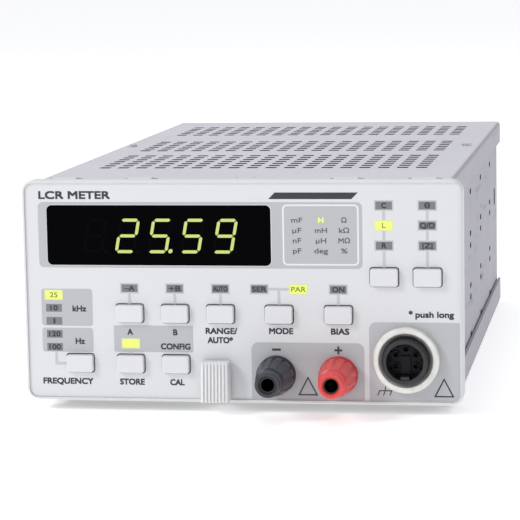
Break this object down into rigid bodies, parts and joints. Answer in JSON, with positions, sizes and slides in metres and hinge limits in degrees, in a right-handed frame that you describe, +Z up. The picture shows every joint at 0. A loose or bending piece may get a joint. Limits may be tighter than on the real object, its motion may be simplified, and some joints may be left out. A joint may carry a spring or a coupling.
{
  "type": "lcr meter",
  "caption": "Plug-in bench LCR meter: light sheet-metal module with LED display, keys, 4 mm binding posts, round measuring connector and release lever.",
  "frame": {"origin": "middle of the footprint, on the surface that the module stands on", "axes": "+X to the right seen from the front, the front panel faces -Y, +Z up"},
  "size_m": [0.135, 0.256, 0.0717],
  "materials": {
    "frame_plastic": "fine texture",
    "panel_foil": "satin printed film on metal",
    "panel_steel": "primed sheet",
    "display_window": "smoked, polished",
    "indicator_dark": "unlit legend window",
    "indicator_lit": "lit legend window",
    "display_digits": "LED digit block",
    "led_body": "diffused",
    "circuit_board": "solder mask",
    "plated_hardware": "zinc or nickel plated",
    "spring_steel": "drawn wire",
    "plated_brass": "nickel plated brass",
    "black_plastic": "moulded",
    "red_plastic": "moulded",
    "black_cap": "moulded, semi-gloss",
    "red_cap": "moulded, semi-gloss",
    "button_plastic": "moulded",
    "lever_plastic": "moulded",
    "connector_chrome": "nickel plated",
    "connector_sleeve": "nickel plated zinc",
    "connector_insert": "moulded",
    "cover_sheet": "powder coated sheet steel",
    "gold_contacts": "gold plated",
    "capacitor_can": "sleeved aluminium can",
    "relay_case": "moulded",
    "tinned_steel": "tinned sheet",
    "wire_grey": "insulated lead",
    "wire_red": "insulated lead"
  },
  "bodies": {
    "root": {"front_frame": "frame_plastic", "front_foil": "panel_foil", "front_plate": "panel_steel", "display_window": "display_window", "indicator_windows": "indicator_dark", "indicator_windows_lit": "indicator_lit", "display_digits": "display_digits", "indicator_leds": "led_body", "front_board": "circuit_board", "front_board_spacers": "plated_hardware", "front_board_screws": "plated_hardware", "switch_bodies": "black_plastic", "lever_pin": "plated_hardware", "lever_spring": "spring_steel", "post_insulator_black": "black_plastic", "post_insulator_red": "red_plastic", "post_spindles": "plated_brass", "post_nuts": "plated_hardware", "post_solder_lugs": "plated_brass", "connector_ring": "connector_chrome", "connector_sleeve": "connector_sleeve", "connector_insert": "connector_insert", "connector_contacts": "plated_brass", "connector_nut": "plated_hardware", "top_cover": "cover_sheet", "bottom_cover": "cover_sheet", "side_wall_left": "cover_sheet", "side_wall_right": "cover_sheet", "rear_panel": "cover_sheet", "rear_corner_blocks": "plated_hardware", "rear_panel_screws": "plated_hardware", "frame_screws": "plated_hardware", "cover_screws": "plated_hardware", "main_board": "circuit_board", "edge_contacts": "gold_contacts", "main_board_pillars": "plated_hardware", "main_board_screws": "plated_hardware", "board_link_header": "black_plastic", "chips": "black_plastic", "electrolytic_capacitors": "capacitor_can", "range_relays": "relay_case", "crystal": "plated_hardware", "shield_can": "tinned_steel", "measuring_wires": "wire_grey", "bias_wires": "wire_red"},
    "lever": {"release_lever": "lever_plastic"},
    "washer_black": {"clamp_washer_black": "plated_brass"},
    "cap_black": {"post_cap_black": "black_cap"},
    "washer_red": {"clamp_washer_red": "plated_brass"},
    "cap_red": {"post_cap_red": "red_cap"},
    "key_frequency": {"button_frequency": "button_plastic"},
    "key_store": {"button_store": "button_plastic"},
    "key_calibrate": {"button_calibrate": "button_plastic"},
    "key_config_a": {"button_config_a": "button_plastic"},
    "key_config_b": {"button_config_b": "button_plastic"},
    "key_range": {"button_range": "button_plastic"},
    "key_mode": {"button_mode": "button_plastic"},
    "key_bias": {"button_bias": "button_plastic"},
    "key_inductance": {"button_inductance": "button_plastic"},
    "key_phase": {"button_phase": "button_plastic"}
  },
  "joints": [
    {"name": "press_frequency", "type": "slide", "parent": "root", "child": "key_frequency", "axis": [0, 1, 0], "range_m": [0, 0.0005], "stiffness_N_per_m": 600, "springref_m": -0.0015},
    {"name": "press_store", "type": "slide", "parent": "root", "child": "key_store", "axis": [0, 1, 0], "range_m": [0, 0.0005], "stiffness_N_per_m": 600, "springref_m": -0.0015},
    {"name": "press_calibrate", "type": "slide", "parent": "root", "child": "key_calibrate", "axis": [0, 1, 0], "range_m": [0, 0.0005], "stiffness_N_per_m": 600, "springref_m": -0.0015},
    {"name": "press_config_a", "type": "slide", "parent": "root", "child": "key_config_a", "axis": [0, 1, 0], "range_m": [0, 0.0005], "stiffness_N_per_m": 600, "springref_m": -0.0015},
    {"name": "press_config_b", "type": "slide", "parent": "root", "child": "key_config_b", "axis": [0, 1, 0], "range_m": [0, 0.0005], "stiffness_N_per_m": 600, "springref_m": -0.0015},
    {"name": "press_range", "type": "slide", "parent": "root", "child": "key_range", "axis": [0, 1, 0], "range_m": [0, 0.0005], "stiffness_N_per_m": 600, "springref_m": -0.0015},
    {"name": "press_mode", "type": "slide", "parent": "root", "child": "key_mode", "axis": [0, 1, 0], "range_m": [0, 0.0005], "stiffness_N_per_m": 600, "springref_m": -0.0015},
    {"name": "press_bias", "type": "slide", "parent": "root", "child": "key_bias", "axis": [0, 1, 0], "range_m": [0, 0.0005], "stiffness_N_per_m": 600, "springref_m": -0.0015},
    {"name": "press_inductance", "type": "slide", "parent": "root", "child": "key_inductance", "axis": [0, 1, 0], "range_m": [0, 0.0005], "stiffness_N_per_m": 600, "springref_m": -0.0015},
    {"name": "press_phase", "type": "slide", "parent": "root", "child": "key_phase", "axis": [0, 1, 0], "range_m": [0, 0.0005], "stiffness_N_per_m": 600, "springref_m": -0.0015},
    {"name": "lever_pull", "type": "hinge", "parent": "root", "child": "lever", "pos_m": [-0.0076, -0.1032, 0.0066], "axis": [1, 0, 0], "range_deg": [0, 12], "stiffness_Nm_per_rad": 0.02, "springref_deg": -11.46, "deforming": ["lever_spring"]},
    {"name": "washer_slide_black", "type": "slide", "parent": "root", "child": "washer_black", "axis": [0, -1, 0], "range_m": [0, 0.003]},
    {"name": "cap_turn_black", "type": "hinge", "parent": "washer_black", "child": "cap_black", "pos_m": [0.0107, -0.12, 0.0121], "axis": [0, -1, 0], "range_deg": [0, 1543]},
    {"name": "washer_slide_red", "type": "slide", "parent": "root", "child": "washer_red", "axis": [0, -1, 0], "range_m": [0, 0.003]},
    {"name": "cap_turn_red", "type": "hinge", "parent": "washer_red", "child": "cap_red", "pos_m": [0.0297, -0.12, 0.0121], "axis": [0, -1, 0], "range_deg": [0, 1543]}
  ],
  "couplings": [
    {"joint": "cap_turn_black", "follows": "washer_slide_black", "rad_per_m": 8976},
    {"joint": "cap_turn_red", "follows": "washer_slide_red", "rad_per_m": 8976}
  ]
}
